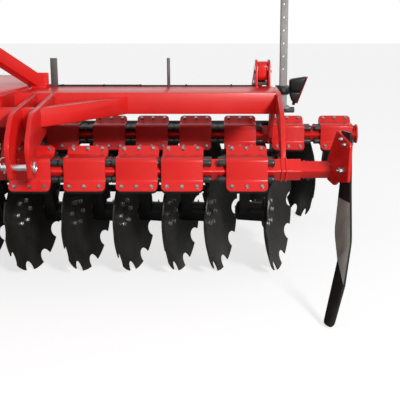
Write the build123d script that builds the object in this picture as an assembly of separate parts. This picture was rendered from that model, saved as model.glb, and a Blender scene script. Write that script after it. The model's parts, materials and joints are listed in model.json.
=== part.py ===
from build123d import *
import math
import os

# Mounted disc harrow in millimetres. X points to the right as seen from the tractor, Y to the rear, Z up.
# Everything is placed from the axis of the front tool beam and moved to the shared origin at the end.

# Rows, discs and hubs
rowSpacing = 1088.0
discRadius = 280.0
discThickness = 6.0
discDepth = 65.0
discAngle = 15.5
discOffset = 112.0
notchCount = 10
notchDepth = 45.0
notchMouth = 80.0
notchFloor = 30.0
hubRadius = 75.0
hubThickness = 14.0
shaftRadius = 20.0
shaftLength = 42.0
bearingRadius = 47.0
bearingGap = 5.0
runningGap = 0.3
# Places of the front arms along a frame of the surveyed half length
surveyHalfLength = 1500.0
armPlaces = (-1879, -1611, -1343, -1094, -852, -614, -356, -97, 163, 422, 656, 879, 1073, 1351)
# Turn of each disc about its own axle, as the discs happen to stand
discTurns = (4, -7, 2, 8, -3, 6, -8, 1, 5, -5, 7, -2, -6, 3)

# Tool beams, square tubes standing on one edge
beamHeight = 559.0
beamSide = 70.0
beamWall = 8.0
beamLongOverhang = 490.0
beamShortOverhang = 84.0
capThickness = 10.0
capRadius = 53.0

# Clamps with four rubber rods each
coverShare = 178.0
clampInner = 51.0
clampWall = 8.0
clampBend = 16.0
flangeReach = 84.0
flangeStep = 6.0
flangeBend = 18.0
flangeCorner = 22.0
rodReach = 36.0
rodSpare = 1.0

# Arms
armThickness = 48.0
armTrail = 400.0
armDepth = 78.0
bearingBack = 30.0

# Main frame
frameHalfLength = 1500.0
frameDepth = 370.0
frameHeight = 100.0
frameTop = 857.0
frameWall = 8.0
archThickness = 20.0
hangerInner = 226.0
hangerOuter = 290.0
spineHalfWidth = 275.0
spineTailHalfWidth = 110.0
spinePlate = 12.0
spineFront = 20.0
spineShoulder = 957.0
spineTail = 1340.0
crossSide = 80.0
crossTop = 820.0
braceRise = 18.0
crossFront = 20.0

# Lower hitch and tower
hitchHalf = 412.5
clevisGap = 63.0
hitchPlate = 20.0
pinRadius = 14.0
pinY = -165.0
pinZ = 598.0
pinHead = 26.0
pinFit = 0.2
mastHeight = 610.0
mastGap = 55.0
mastPlate = 20.0
mastBore = 12.9
mastY = -20.0
stayFoot = 335.0

# Deflectors at the ends of the rows
sliderSide = 53.0
sliderOverlap = 320.0
bracketOverhang = 216.0
bracketTurn = 17.0
bracketHeight = 568.0
bracketThickness = 12.0
bladeThickness = 10.0
bladeRear = 91.0
bladeTop = 98.0
bladeBelly = 150.0
bladeBellyShare = 0.6
bladeWaist = 110.0
bladeSlant = 40.0
bladeTip = 62.0
bladeTipCorner = 22.0
# From the bracket's plane at the beam's axis
bladeWaistReach = (15.0, -325.0, 196.0)
bladeTipReach = (-47.0, -434.0)
floorGap = 6.0

# Roller and its frame
rollerArmInset = 50.0
rollerArmWidth = 44.0
rollerCheek = 10.0
rollerArmHeight = 90.0
rollerHingeY = 735.0
rollerHingeZ = 940.0
rollerHingePin = 18.0
rollerArmNose = 45.0
rollerArmFall = 60.0
rollerKneeY = 1170.0
rollerBarY = 1760.0
rollerBarZ = 708.0
rollerBarSide = 80.0
rollerAxleY = 2130.0
rollerRadius = 250.0
rollerOverhang = 117.0
rollerTube = 17.0
rollerBars = 10
rollerRings = 5
rollerPlate = 15.0
rollerStub = 25.0
rollerStubReach = 26.0
stopPinRadius = 12.0

# Parking stands, lamps and wiring
standOverhang = 58.0
standY = 760.0
standSide = 38.0
standFoot = 741.0
standTop = 1560.0
standGap = 0.5
collarWall = 8.0
collarBottom = 812.0
collarTop = 857.0
standFootReach = 32.0
conduitRadius = 9.0

# Small posts on the rear edge of the main beam
restY = 700.0
restTop = 1000.0
restBarX = 392.0
restBarWidth = 35.0
restBarThickness = 8.0
restRodX = 972.0
restRodRadius = 8.0

frontArms = tuple(x * frameHalfLength / surveyHalfLength for x in armPlaces)
coverWidth = coverShare * frameHalfLength / surveyHalfLength
beamLongEnd = frameHalfLength + beamLongOverhang
beamShortEnd = frameHalfLength + beamShortOverhang
bracketX = frameHalfLength + bracketOverhang
rollerArmX = frameHalfLength - rollerArmInset
rollerHalf = frameHalfLength + rollerOverhang
standX = frameHalfLength + standOverhang
frameBottom = frameTop - frameHeight
frameMiddle = rowSpacing / 2
frameFront = frameMiddle - frameDepth / 2
frameBack = frameMiddle + frameDepth / 2
archX = frameHalfLength
rollerArmSlope = rollerArmFall / (rollerKneeY - rollerHingeY + rollerArmNose)
rearArms = tuple(-x for x in reversed(frontArms))
clampOuter = clampInner + clampWall
# The rods fill the corner between two clamp walls and one face of the beam.
rodCentre = (clampInner + beamSide / 2) / (1 + math.sqrt(2))
rodApothem = clampInner - rodCentre


def profileX(points, low, high, radii=None):
    """A solid with a profile in the Y-Z plane, from one X to another."""
    if radii is None:
        line = Polyline(*points, close=True)
    else:
        line = FilletPolyline(*points, radius=radii, close=True)
    return extrude(Plane.YZ.offset(low) * make_face(line), high - low)


def profileZ(points, low, high):
    """A solid with a plan outline, from one height to another."""
    return extrude(Plane.XY.offset(low) * make_face(Polyline(*points, close=True)), high - low)


def block(low, high):
    size = [b - a for a, b in zip(low, high)]
    middle = [(a + b) / 2 for a, b in zip(low, high)]
    return Pos(*middle) * Box(*size)


def rod(start, end, radius):
    """A round bar from one point to another."""
    axis = Vector(*end) - Vector(*start)
    plane = Plane(origin=start, z_dir=axis)
    return extrude(plane * Circle(radius), axis.length)


def tubeX(low, high, side, wall=0.0):
    """A square tube along X that stands on one edge, about the X axis."""
    outline = RectangleRounded(side, side, side / 10) if wall else Rectangle(side, side)
    if wall:
        outline -= Rectangle(side - 2 * wall, side - 2 * wall)
    return Pos(low, 0, 0) * extrude(Plane.YZ * (Rot(0, 0, 45) * outline), high - low)


def atRow(shape, row):
    return Pos(0, row * rowSpacing, beamHeight) * shape


def toolBeam(row):
    """The tube of one row, with the round stop plate on its long end."""
    side = 1 if row == 0 else -1
    low, high = sorted((-side * beamLongEnd, side * beamShortEnd))
    end = -side * beamLongEnd
    capLow = min(end, end - side * capThickness)
    cap = Pos(capLow, 0, 0) * extrude(Plane.YZ * Circle(capRadius), capThickness)
    return atRow(tubeX(low, high, beamSide, beamWall) + cap, row)


def clampHalf(width, near, far):
    """The bent front half of a clamp, with its two flanges between two distances from the beam's diagonal."""
    low, high = near / math.sqrt(2), far / math.sqrt(2)
    reach, outer, inner = flangeReach, clampOuter, clampInner
    points = [
        (-reach - high, -reach + high),
        (-outer, -outer + 2 * high),
        (-outer, outer),
        (outer - 2 * high, outer),
        (reach - high, reach + high),
        (reach - low, reach + low),
        (inner - 2 * low, inner),
        (-inner, inner),
        (-inner, -inner + 2 * low),
        (-reach - low, -reach + low),
    ]
    radii = [0, flangeBend, clampBend, flangeBend, 0, 0, 0, clampBend - clampWall, 0, 0]
    shell = profileX(points, -width / 2, width / 2, radii)
    ends = [e for e in shell.edges() if abs(e.center().X) > width / 2 - 1]
    tips = [e for e in ends if abs(e.center().Y) > reach - 2 * clampWall]
    return fillet([e for e in tips if abs(e.length - (far - near)) < 1], flangeCorner)


def arm():
    """The rear half of a clamp, the trailing arm and the bearing housing at its end."""
    drop = discRadius - beamHeight
    shell = Rot(180, 0, 0) * clampHalf(coverWidth, -flangeStep, clampWall)
    top = clampInner + clampWall / 2
    points = [
        (top, 46),
        (170, 34),
        (290, -60),
        (armTrail + 40, drop + 18),
        (armTrail, drop - 44),
        (armTrail - 46, drop - 4),
        (235, -60 - armDepth),
        (150, -52 - armDepth / 4),
        (top, -top),
    ]
    plate = profileX(points, -armThickness / 2, armThickness / 2, [0, 60, 60, 30, 30, 0, 60, 40, 0])
    return shell + plate


def bearing(side):
    """The housing at the end of an arm, with the bore that the disc's shaft turns in."""
    place = Pos(0, armTrail, discRadius - beamHeight) * Rot(0, 0, -side * discAngle) * Rot(0, side * 90, 0)
    length = discReach - hubThickness - bearingGap
    housing = Pos(0, 0, -bearingBack) * extrude(Circle(bearingRadius), length + bearingBack)
    depth = shaftLength - bearingGap + 4
    bore = Pos(0, 0, length - depth) * extrude(Circle(shaftRadius + runningGap), depth + 1)
    return place * housing, place * bore


discReach = discOffset / math.cos(math.radians(discAngle))
discTrail = armTrail - discReach * math.sin(math.radians(discAngle))


def discPlace(x, row):
    """Where a disc's back centre is, turned so that its own Z axis is the axle, out of the hollow face."""
    side = 1 if row == 0 else -1
    spot = Pos(x + side * discOffset, row * rowSpacing + discTrail, discRadius)
    return spot * Rot(0, 0, -side * discAngle) * Rot(0, side * 90, 0)


def notchedDisc():
    """The dished disc with its bites, fused to the hub flange and the axle stub behind it."""
    rise = discDepth - discThickness
    flat = hubRadius
    profile = Polyline(
        (0, discThickness),
        (flat, discThickness),
        (discRadius, discThickness + rise),
        (discRadius, rise),
        (flat, 0),
        (flat, -hubThickness),
        (shaftRadius, -hubThickness),
        (shaftRadius, -hubThickness - shaftLength),
        (0, -hubThickness - shaftLength),
        close=True,
    )
    body = revolve(Plane.XZ * make_face(profile), Axis.Z)
    outside = discRadius + 10
    floor = discRadius - notchDepth
    bite = Polyline(
        (outside, -notchMouth / 2),
        (outside, notchMouth / 2),
        (floor, notchFloor / 2),
        (floor, -notchFloor / 2),
        close=True,
    )
    cutter = extrude(make_face(bite), discDepth + 5)
    pitch = 360 / notchCount
    bites = [Rot(0, 0, (i + 0.5) * pitch) * cutter for i in range(notchCount)]
    return body - bites


def rodRun(row):
    """The four rubber rods of each clamp, which stand out of it as far as the neighbours allow."""
    arms = frontArms if row == 0 else rearArms
    side = 1 if row == 0 else -1
    half = coverWidth / 2
    plates = [s * (archX + archThickness / 2) for s in (-1, 1)]
    hangers = [side * hangerOuter, -side * hangerInner]
    ends = [side * -beamLongEnd]
    stops = [(x - half, x + half) for x in arms]
    stops += [(x - archThickness / 2, x + archThickness / 2) for x in plates + hangers]
    stops += [(x, x) for x in ends]
    rods = []
    for x in arms:
        left = min([x - half - high for low, high in stops if high <= x - half] + [4 * rodReach])
        right = min([low - x - half for low, high in stops if low >= x + half] + [4 * rodReach])
        low = x - half - min(rodReach, max(left / 2 - rodSpare, 0))
        high = x + half + min(rodReach, max(right / 2 - rodSpare, 0))
        outline = RegularPolygon(rodApothem, 8, major_radius=False, rotation=22.5)
        section = [Pos(a * rodCentre, b * rodCentre) * outline for a in (-1, 1) for b in (-1, 1)]
        rods += [extrude(Plane.YZ.offset(low) * s, high - low) for s in section]
    return Compound(children=rods)


def mirrored(shape):
    return mirror(shape, Plane.YZ)


def archPlate():
    """The end plate of the frame, cut out like an arch, that hangs both tool beams under the main beam."""
    rear = rowSpacing
    points = [
        (frameFront - 10, frameTop),
        (138, 792),
        (64, 668),
        (-30, beamHeight - 12),
        (60, beamHeight - 12),
        (150, 640),
        (frameFront + 20, frameBottom - 12),
    ]
    outline = points + [(rear - y, z) for y, z in reversed(points)]
    radii = [60, 80, 100, 12, 12, 120, 80]
    plate = profileX(outline, archX, archX + archThickness, radii + radii[::-1])
    for row in (0, 1):
        plate -= atRow(tubeX(archX - 1, archX + archThickness + 1, beamSide), row)
    return plate


def hanger(x, row):
    """An inner plate from the underside of the main beam to a tool beam."""
    points = [
        (-30, beamHeight - 12),
        (60, beamHeight - 12),
        (150, 640),
        (frameFront + 30, 720),
        (frameFront + 150, frameBottom),
        (190, frameBottom),
        (62, 660),
    ]
    plate = profileX(points, x - archThickness / 2, x + archThickness / 2, [12, 12, 100, 60, 0, 0, 100])
    plate -= Pos(0, 0, beamHeight) * tubeX(x - archThickness, x + archThickness, beamSide)
    if row:
        plate = Pos(0, rowSpacing, 0) * mirror(plate, Plane.XZ)
    return plate


def mainBeam():
    outer = block((-frameHalfLength, frameFront, frameBottom), (frameHalfLength, frameBack, frameTop))
    inner = block(
        (-frameHalfLength - 1, frameFront + frameWall, frameBottom + frameWall),
        (frameHalfLength + 1, frameBack - frameWall, frameTop - frameWall),
    )
    return outer - inner


def headstockBase():
    """The top plate over the main beam with a web under each side, before and behind the beam."""
    half, tail = spineHalfWidth, spineTailHalfWidth
    outline = [
        (-half, spineFront),
        (half, spineFront),
        (half, spineShoulder),
        (tail, spineTail),
        (-tail, spineTail),
        (-half, spineShoulder),
    ]
    base = profileZ(outline, frameTop, frameTop + spinePlate)
    behind = crossFront + crossSide
    for side in (-1, 1):
        edge = sorted((side * half, side * (half - spinePlate)))
        base += block((edge[0], behind, frameBottom), (edge[1], frameFront, frameTop))
        base += block((edge[0], frameBack, frameBottom), (edge[1], spineShoulder, frameTop))
    base += block((-half, spineShoulder - spinePlate, frameBottom), (half, spineShoulder, frameTop))
    return base


def hitchPlatePair():
    """The two ears of the right lower hitch point."""
    points = [
        (frameFront, frameTop),
        (-120, crossTop - 3),
        (-234, 692),
        (pinY - 34, pinZ),
        (pinY - 24, 548),
        (-128, 545),
        (-98, 600),
        (-90, 655),
        (108, 700),
        (180, frameBottom),
        (frameFront, frameBottom),
    ]
    radii = [0, 110, 90, 60, 20, 20, 20, 30, 60, 30, 0]
    inner = hitchHalf - clevisGap / 2 - hitchPlate
    outer = hitchHalf + clevisGap / 2
    bore = rod((0, pinY, pinZ), (2 * hitchHalf, pinY, pinZ), pinRadius + pinFit)
    return [profileX(points, x, x + hitchPlate, radii) - bore for x in (inner, outer)]


def crossbar():
    half = hitchHalf + clevisGap / 2
    bar = block((-half, crossFront, crossTop - crossSide), (half, crossFront + crossSide, crossTop))
    inner = hitchHalf - clevisGap / 2 - hitchPlate
    for side in (-1, 1):
        low, high = sorted((side * inner, side * (inner + hitchPlate)))
        bar -= block((low, 0, 0), (high, frameFront, frameTop))
    return bar


def brace():
    start = hitchHalf + clevisGap / 2 + hitchPlate
    run = frameFront - crossFront
    step = crossSide * math.sqrt(2)
    outline = [
        (start, crossFront),
        (start + run, frameFront),
        (start + run - step, frameFront),
        (start, crossFront + step),
    ]
    low, top = crossTop - crossSide, crossTop
    rising = Polyline((start, low), (start + run, low + braceRise), (start + run, top + braceRise), (start, top), close=True)
    bar = extrude(Plane.XZ.offset(-frameFront) * make_face(rising), run)
    return bar & profileZ(outline, 0, frameTop)


def hitchPin():
    ear = hitchHalf + clevisGap / 2 + hitchPlate
    inner = hitchHalf - clevisGap / 2 - hitchPlate
    pin = rod((inner - 30, pinY, pinZ), (ear, pinY, pinZ), pinRadius)
    return pin + rod((ear, pinY, pinZ), (ear + 12, pinY, pinZ), pinHead)


def mastPlatePair():
    """The two cheeks of the tower, with the top link's bore between them."""
    foot = frameTop + spinePlate
    top = pinZ + mastHeight
    points = [
        (60, foot),
        (mastY - 38, top - 30),
        (mastY - 30, top + 38),
        (mastY + 60, top + 38),
        (330, foot + 70),
        (420, foot),
    ]
    cheeks = []
    for side in (-1, 1):
        low, high = sorted((side * mastGap / 2, side * (mastGap / 2 + mastPlate)))
        cheek = profileX(points, low, high, [0, 30, 30, 60, 40, 0])
        hole = Pos(low - 1, mastY, top) * extrude(Plane.YZ * Circle(mastBore), mastPlate + 2)
        cheeks.append(cheek - hole)
    return cheeks


def stays():
    """The two tubes that tie the tower's top to the rear edge of the main beam, each with its foot plate."""
    made = []
    top = pinZ + mastHeight
    for side in (-1, 1):
        start = Vector(side * (mastGap / 2 + mastPlate + 34), mastY + 110, top - 40)
        end = Vector(side * stayFoot, frameBack - 70, frameTop + spinePlate)
        plane = Plane(origin=start, z_dir=end - start, x_dir=(0, 0, 1))
        tube = extrude(plane * Rectangle(60, 60), (end - start).length)
        floor = frameTop + spinePlate
        tube -= block((-2000, -2000, floor - 200), (2000, 2000, floor))
        tube -= block((-(mastGap / 2 + mastPlate), -2000, 0), (mastGap / 2 + mastPlate, 2000, 3000))
        foot = block(
            (side * stayFoot - 36, frameBack - 140, frameTop), (side * stayFoot + 36, frameBack - 8, floor)
        )
        foot -= block((-spineHalfWidth, 0, frameTop - 1), (spineHalfWidth, rowSpacing, floor + 1))
        inner, outer = sorted((side * (spineHalfWidth + 8), side * (spineHalfWidth + 100)))
        upright = block((inner, frameBack - 95, floor), (outer, frameBack - 83, floor + 62))
        made.append(tube + foot + upright)
    return made


def bracketPlane():
    """The outer plane of the bracket: X forwards and outwards, Y up, normal inwards."""
    turn = math.radians(bracketTurn)
    ahead = Vector(math.sin(turn), -math.cos(turn), 0)
    inward = Vector(-math.cos(turn), -math.sin(turn), 0)
    return Plane(origin=(bracketX, 0, bracketHeight), x_dir=ahead, z_dir=inward)


def slider():
    """The telescopic tube in the end of a beam, with the toed-out plate that carries the blade."""
    start = beamShortEnd - sliderOverlap
    tube = atRow(tubeX(start, bracketX - 4, sliderSide), 0)
    outline = [(-14, 35), (10, 76), (77, 174), (205, 130), (192, -30), (98, -42), (60, -66), (-14, -53)]
    plate = make_face(FilletPolyline(*outline, radius=[14, 30, 16, 14, 12, 14, 14, 14], close=True))
    return tube + extrude(bracketPlane() * plate, bracketThickness)


def blade():
    """The deflector blade on the outside of the bracket, bent twice and ending just above the floor."""
    tab = bracketPlane().offset(-bladeThickness)
    ahead = tab.x_dir
    low, high = -50.0, 175.0
    rear = bladeRear
    upper = [(rear, high), (rear + bladeTop - 12, high), (rear + bladeTop, low), (rear, low)]
    shape = extrude(tab * make_face(FilletPolyline(*upper, radius=[12, 12, 0, 0], close=True)), bladeThickness)

    corner = tab.from_local_coords((rear, low, 0))
    middle = corner + ahead * (bladeTop / 2)
    over, along, up = bladeWaistReach
    fall = Vector(bracketX + over, along, up) - middle
    shift = fall.dot(ahead)
    down = fall - ahead * shift
    leaf = Plane(origin=corner, x_dir=ahead, z_dir=ahead.cross(-down))
    drop = down.length

    def across(share, width, tilt=0.0):
        """The rear and the front edge of the leaf at a share of its fall."""
        centre = bladeTop / 2 + share * shift
        level = -share * drop
        return (centre - width / 2, level + tilt), (centre + width / 2, level - tilt)

    rearBelly, frontBelly = across(bladeBellyShare, bladeBelly)
    rearWaist, frontWaist = across(1, bladeWaist, bladeSlant)
    outline = [(0, 0), (bladeTop, 0), frontBelly, frontWaist, rearWaist, rearBelly]
    radii = [0, 0, 160, 0, 0, 160]
    shape += extrude(leaf * make_face(FilletPolyline(*outline, radius=radii, close=True)), bladeThickness)

    start, end = (leaf.from_local_coords((*p, 0)) for p in (rearWaist, frontWaist))
    over, along = bladeTipReach
    tip = Vector(bracketX + over, along, floorGap)
    crease = end - start
    foot = Plane(origin=start, x_dir=crease, z_dir=crease.cross(start - tip))
    tips = [foot.to_local_coords(tip + ahead * (k * bladeTip / 2)) for k in (1, -1)]
    outline = [(0, 0), (crease.length, 0)] + [(t.X, t.Y) for t in tips]
    radii = [0, 0, bladeTipCorner, bladeTipCorner]
    shape += extrude(foot * make_face(FilletPolyline(*outline, radius=radii, close=True)), bladeThickness)
    return shape - block((0, -rowSpacing, -floorGap), (2 * bracketX, rowSpacing, floorGap))


def rollerArm():
    """One swan-neck arm of the roller frame, from its hinge on the main beam to the cross tube."""
    half = rollerArmHeight / 2
    points = [
        (rollerHingeY - rollerArmNose, rollerHingeZ - half),
        (rollerHingeY - rollerArmNose, rollerHingeZ + half),
        (rollerKneeY + 10, rollerHingeZ + half - 40),
        (rollerBarY + 50, rollerBarZ + half),
        (rollerBarY + 50, rollerBarZ - half),
        (rollerBarY - 60, rollerBarZ - half),
        (rollerKneeY, rollerHingeZ - half - rollerArmFall),
    ]
    low = rollerArmX - rollerArmWidth / 2
    body = profileX(points, low, low + rollerArmWidth, [20, 30, 200, 30, 20, 60, 150])
    hole = rod((low - 1, rollerHingeY, rollerHingeZ), (low + rollerArmWidth + 1, rollerHingeY, rollerHingeZ),
               rollerHingePin + runningGap)
    return body - hole


def rollerFrame():
    """Both arms, the cross tube and the side plates that hold the roller's stub axles."""
    half = rollerBarSide / 2
    bar = block(
        (-rollerEnd - rollerPlate, rollerBarY - half, rollerBarZ - half),
        (rollerEnd + rollerPlate, rollerBarY + half, rollerBarZ + half),
    )
    points = [
        (rollerBarY - half, rollerBarZ - half),
        (rollerBarY - half, rollerBarZ + half),
        (rollerBarY + 60, rollerBarZ + half),
        (rollerAxleY + 60, rollerRadius + 120),
        (rollerAxleY + 60, rollerRadius - 60),
        (rollerAxleY - 60, rollerRadius - 60),
        (rollerAxleY - 60, rollerRadius + 80),
    ]
    plate = profileX(points, rollerEnd, rollerEnd + rollerPlate, [0, 20, 60, 60, 40, 40, 100])
    plate -= rod((rollerEnd - 1, rollerAxleY, rollerRadius), (rollerEnd + rollerPlate + 1, rollerAxleY,
                 rollerRadius), rollerStub + runningGap)
    arm = rollerArm()
    frame = bar + arm + plate
    return frame + mirrored(arm) + mirrored(plate)


def roller():
    """The open tube roller: rings on a centre tube, bars round their rims and a stub axle at each end."""
    axis = Pos(0, rollerAxleY, rollerRadius)
    pitch = rollerRadius - rollerTube
    bar = Pos(-rollerHalf, pitch, 0) * extrude(Plane.YZ * Circle(rollerTube), 2 * rollerHalf)
    cage = Pos(-rollerHalf, 0, 0) * extrude(Plane.YZ * Circle(45), 2 * rollerHalf)
    for i in range(rollerRings):
        x = -rollerHalf + 20 + i * (2 * rollerHalf - 40 - rollerPlate) / (rollerRings - 1)
        ring = Circle(pitch) - Circle(45)
        cage += Pos(x, 0, 0) * extrude(Plane.YZ * ring, 8)
    for i in range(rollerBars):
        cage += Rot((i + 0.5) * 360 / rollerBars, 0, 0) * bar
    for side in (-1, 1):
        low = min(side * rollerHalf, side * (rollerHalf + rollerStubReach))
        cage += Pos(low, 0, 0) * extrude(Plane.YZ * Circle(rollerStub), rollerStubReach)
    return axis * cage


def rollerPosts():
    """On each side two cheeks on the rear of the main beam that hold the hinge pin and the stop pin."""
    made = []
    gap = rollerArmWidth / 2 + bearingGap
    foot = frameTop
    for centre in (-rollerArmX, rollerArmX):
        for side in (-1, 1):
            low, high = sorted((centre + side * gap, centre + side * (gap + rollerCheek)))
            points = [
                (rollerHingeY - 90, foot),
                (rollerHingeY - 60, rollerHingeZ + 50),
                (rollerHingeY + 40, rollerHingeZ + 50),
                (rollerHingeY + 150, rollerHingeZ - 40),
                (rollerHingeY + 150, foot - 60),
                (frameBack, foot - 90),
                (frameBack, foot),
            ]
            cheek = profileX(points, low, high, [0, 40, 40, 30, 20, 0, 0])
            for y, z, radius in rollerPinPlaces():
                cheek -= rod((low - 1, y, z), (high + 1, y, z), radius + pinFit)
            made.append(cheek)
    return made


def rollerPinPlaces():
    """Height and depth of the hinge pin and of the stop pin that the arm rests on."""
    ahead = 115.0
    fall = rollerArmFall * (ahead + rollerArmNose) / (rollerKneeY - rollerHingeY + rollerArmNose)
    under = rollerHingeZ - rollerArmHeight / 2 - fall
    stopZ = under - (stopPinRadius + runningGap) / math.cos(math.atan(rollerArmSlope))
    return [
        (rollerHingeY, rollerHingeZ, rollerHingePin),
        (rollerHingeY + ahead, stopZ, stopPinRadius),
    ]


def rollerPins():
    made = []
    half = rollerArmWidth / 2 + bearingGap + rollerCheek
    for centre in (-rollerArmX, rollerArmX):
        for y, z, radius in rollerPinPlaces():
            made.append(rod((centre - half - 8, y, z), (centre + half + 8, y, z), radius))
    return made


rollerEnd = rollerHalf + bearingGap


def standLeg():
    half = standSide / 2
    leg = block((standX - half, standY - half, standFoot + 12), (standX + half, standY + half, standTop))
    reach = standFootReach
    return leg + block((standX - half, standY - 45, standFoot), (standX + reach, standY + 45, standFoot + 12))


def standCollar():
    """The sleeve that guides a parking stand, carried by the end plate."""
    inner = standSide / 2 + standGap
    outer = inner + collarWall
    sleeve = block((standX - outer, standY - outer, collarBottom), (standX + outer, standY + outer, collarTop))
    sleeve -= block(
        (standX - inner, standY - inner, collarBottom - 1), (standX + inner, standY + inner, collarTop + 1)
    )
    bracket = block(
        (archX + archThickness, standY - outer, collarBottom), (standX - outer, standY + outer, collarTop)
    )
    return sleeve + bracket


def lampUnit():
    """A wedge-shaped lamp housing beside the stand, on a bar from the collar."""
    low = standX + standSide / 2 + standGap + collarWall
    points = [(low + 4, 806), (low + 18, 772), (low + 46, 762), (low + 100, 905), (low + 4, 890)]
    outline = extrude(Plane.XZ.offset(-standY - 30) * make_face(Polyline(*points, close=True)), 60)
    bar = block((low, standY - 15, 815), (low + 12, standY + 15, 850))
    return outline + bar


def rests():
    """A flat bar and a round rod that stand on the rear edge of the main beam."""
    half, thick = restBarWidth / 2, restBarThickness / 2
    bar = block((restBarX - half, restY - thick, frameTop), (restBarX + half, restY + thick, restTop))
    post = rod((restRodX, restY, frameTop), (restRodX, restY, restTop), restRodRadius)
    return Compound(children=[bar, post])


def conduit():
    """The lighting conduit along the rear top edge of the main beam."""
    y = frameBack + conduitRadius
    inner, outer = spineHalfWidth, rollerArmX - rollerArmWidth / 2 - bearingGap - rollerCheek
    run = rod((inner, y, frameTop), (outer, y, frameTop), conduitRadius)
    return Compound(children=[run, mirrored(run)])


def peg():
    """A stub on the end plate that holds the stand's spare pin."""
    y = rowSpacing - frameFront + 90
    return rod((archX + archThickness, y, 727), (archX + archThickness + 100, y, 727), 13)


def build():
    right = slider()
    leftShift = Pos(0, rowSpacing, 0)
    frontArm = arm()
    nodes = {}
    nodes["main_beam"] = mainBeam()
    nodes["headstock_base"] = headstockBase()
    nodes["headstock_crossbar"] = crossbar()
    nodes["headstock_tower"] = Compound(children=mastPlatePair())
    nodes["tower_stays"] = Compound(children=stays())
    ears = hitchPlatePair()
    nodes["hitch_plates"] = Compound(children=ears + [mirrored(ear) for ear in ears])
    nodes["hitch_braces"] = Compound(children=[brace(), mirrored(brace())])
    nodes["hitch_pins"] = Compound(children=[hitchPin(), mirrored(hitchPin())])
    endPlate = archPlate() + peg()
    nodes["end_plates"] = Compound(children=[endPlate, mirrored(endPlate)])
    hangers = [hanger(hangerOuter, 0), hanger(-hangerInner, 0), hanger(hangerInner, 1), hanger(-hangerOuter, 1)]
    nodes["inner_hangers"] = Compound(children=hangers)
    for row, name, arms in ((0, "front", frontArms), (1, "rear", rearArms)):
        side = 1 if row == 0 else -1
        housing, bore = bearing(side)
        whole = frontArm + housing - bore
        cover = clampHalf(coverWidth, flangeStep, flangeStep + clampWall)
        nodes[name + "_beam"] = toolBeam(row)
        nodes[name + "_clamp_covers"] = atRow(Compound(children=[Pos(x, 0, 0) * cover for x in arms]), row)
        nodes[name + "_arms"] = atRow(Compound(children=[Pos(x, 0, 0) * whole for x in arms]), row)
        nodes[name + "_rubbers"] = atRow(rodRun(row), row)
        disc = notchedDisc()
        for i, x in enumerate(arms):
            # A tooth of every disc stands on the floor.
            nodes[f"{name}_disc_{i + 1:02d}"] = discPlace(x, row) * Rot(0, 0, discTurns[i]) * disc
    nodes["deflector_slider_right"] = right
    nodes["deflector_slider_left"] = leftShift * mirrored(right)
    nodes["deflector_blade_right"] = blade()
    nodes["deflector_blade_left"] = leftShift * mirrored(blade())
    nodes["roller_posts"] = Compound(children=rollerPosts())
    nodes["roller_pins"] = Compound(children=rollerPins())
    nodes["roller_frame"] = rollerFrame()
    nodes["roller"] = roller()
    nodes["stand_right"] = standLeg()
    nodes["stand_left"] = mirrored(standLeg())
    nodes["stand_collars"] = Compound(children=[standCollar(), mirrored(standCollar())])
    nodes["lamps"] = Compound(children=[lampUnit(), mirrored(lampUnit())])
    nodes["lamp_conduit"] = conduit()
    nodes["hose_rests"] = rests()
    return nodes


def moved(shape, shift):
    """Each solid carried along Y by two mirrorings, which write its place into its own geometry."""
    halfway = Plane(origin=(0, shift / 2, 0), z_dir=(0, 1, 0))
    solids = [mirror(mirror(solid, Plane.XZ), halfway) for solid in shape.solids()]
    return Compound(children=solids) if len(solids) > 1 else solids[0]


def main():
    nodes = build()
    boxes = [shape.bounding_box() for shape in nodes.values()]
    front = min(b.min.Y for b in boxes)
    back = max(b.max.Y for b in boxes)
    shift = -(front + back) / 2
    os.makedirs("parts", exist_ok=True)
    for name, shape in nodes.items():
        export_step(moved(shape, shift), f"parts/{name}.step")
    print("nodes", len(nodes), "front", front, "back", back, "low", min(b.min.Z for b in boxes))


main()
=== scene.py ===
import json
import math
import bpy
from mathutils import Matrix, Vector


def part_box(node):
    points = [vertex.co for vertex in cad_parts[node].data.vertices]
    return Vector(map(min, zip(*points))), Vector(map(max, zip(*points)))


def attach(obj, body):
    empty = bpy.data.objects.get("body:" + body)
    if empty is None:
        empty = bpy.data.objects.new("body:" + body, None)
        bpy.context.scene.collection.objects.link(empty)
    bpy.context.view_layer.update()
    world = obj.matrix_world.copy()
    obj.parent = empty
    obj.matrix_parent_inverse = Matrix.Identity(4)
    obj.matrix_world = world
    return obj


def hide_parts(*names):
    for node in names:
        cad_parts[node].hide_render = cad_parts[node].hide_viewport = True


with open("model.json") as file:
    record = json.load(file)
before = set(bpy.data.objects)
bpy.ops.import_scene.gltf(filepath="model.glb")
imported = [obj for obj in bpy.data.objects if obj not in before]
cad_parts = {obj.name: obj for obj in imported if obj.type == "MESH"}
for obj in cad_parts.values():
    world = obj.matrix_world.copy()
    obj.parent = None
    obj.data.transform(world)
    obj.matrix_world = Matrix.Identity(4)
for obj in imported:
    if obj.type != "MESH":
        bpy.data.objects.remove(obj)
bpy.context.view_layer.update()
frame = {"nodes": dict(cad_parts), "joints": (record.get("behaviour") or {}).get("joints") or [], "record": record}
mm = 0.001

# The frame says where each disc turns, and the tool beams' axes come from their boxes.
spins = {j["child"]: j for j in frame["joints"] if "_disc_" in j["child"]}


def middle(node):
    low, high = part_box(node)
    return (low + high) / 2


front = middle("front_beam").y
bodyOf = {n: body for body, nodes in frame["record"]["behaviour"]["bodies"].items() for n in nodes}


def at(x, y, z):
    # millimetres: sideways, behind the axis of the front tool beam, and up from the floor
    return Vector((x * mm, front + y * mm, z * mm))


# Tools

def deselect():
    if bpy.context.object and bpy.context.object.mode != "OBJECT":
        bpy.ops.object.mode_set(mode="OBJECT")
    bpy.ops.object.select_all(action="DESELECT")


def activate(piece):
    deselect()
    piece.select_set(True)
    bpy.context.view_layer.objects.active = piece


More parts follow.
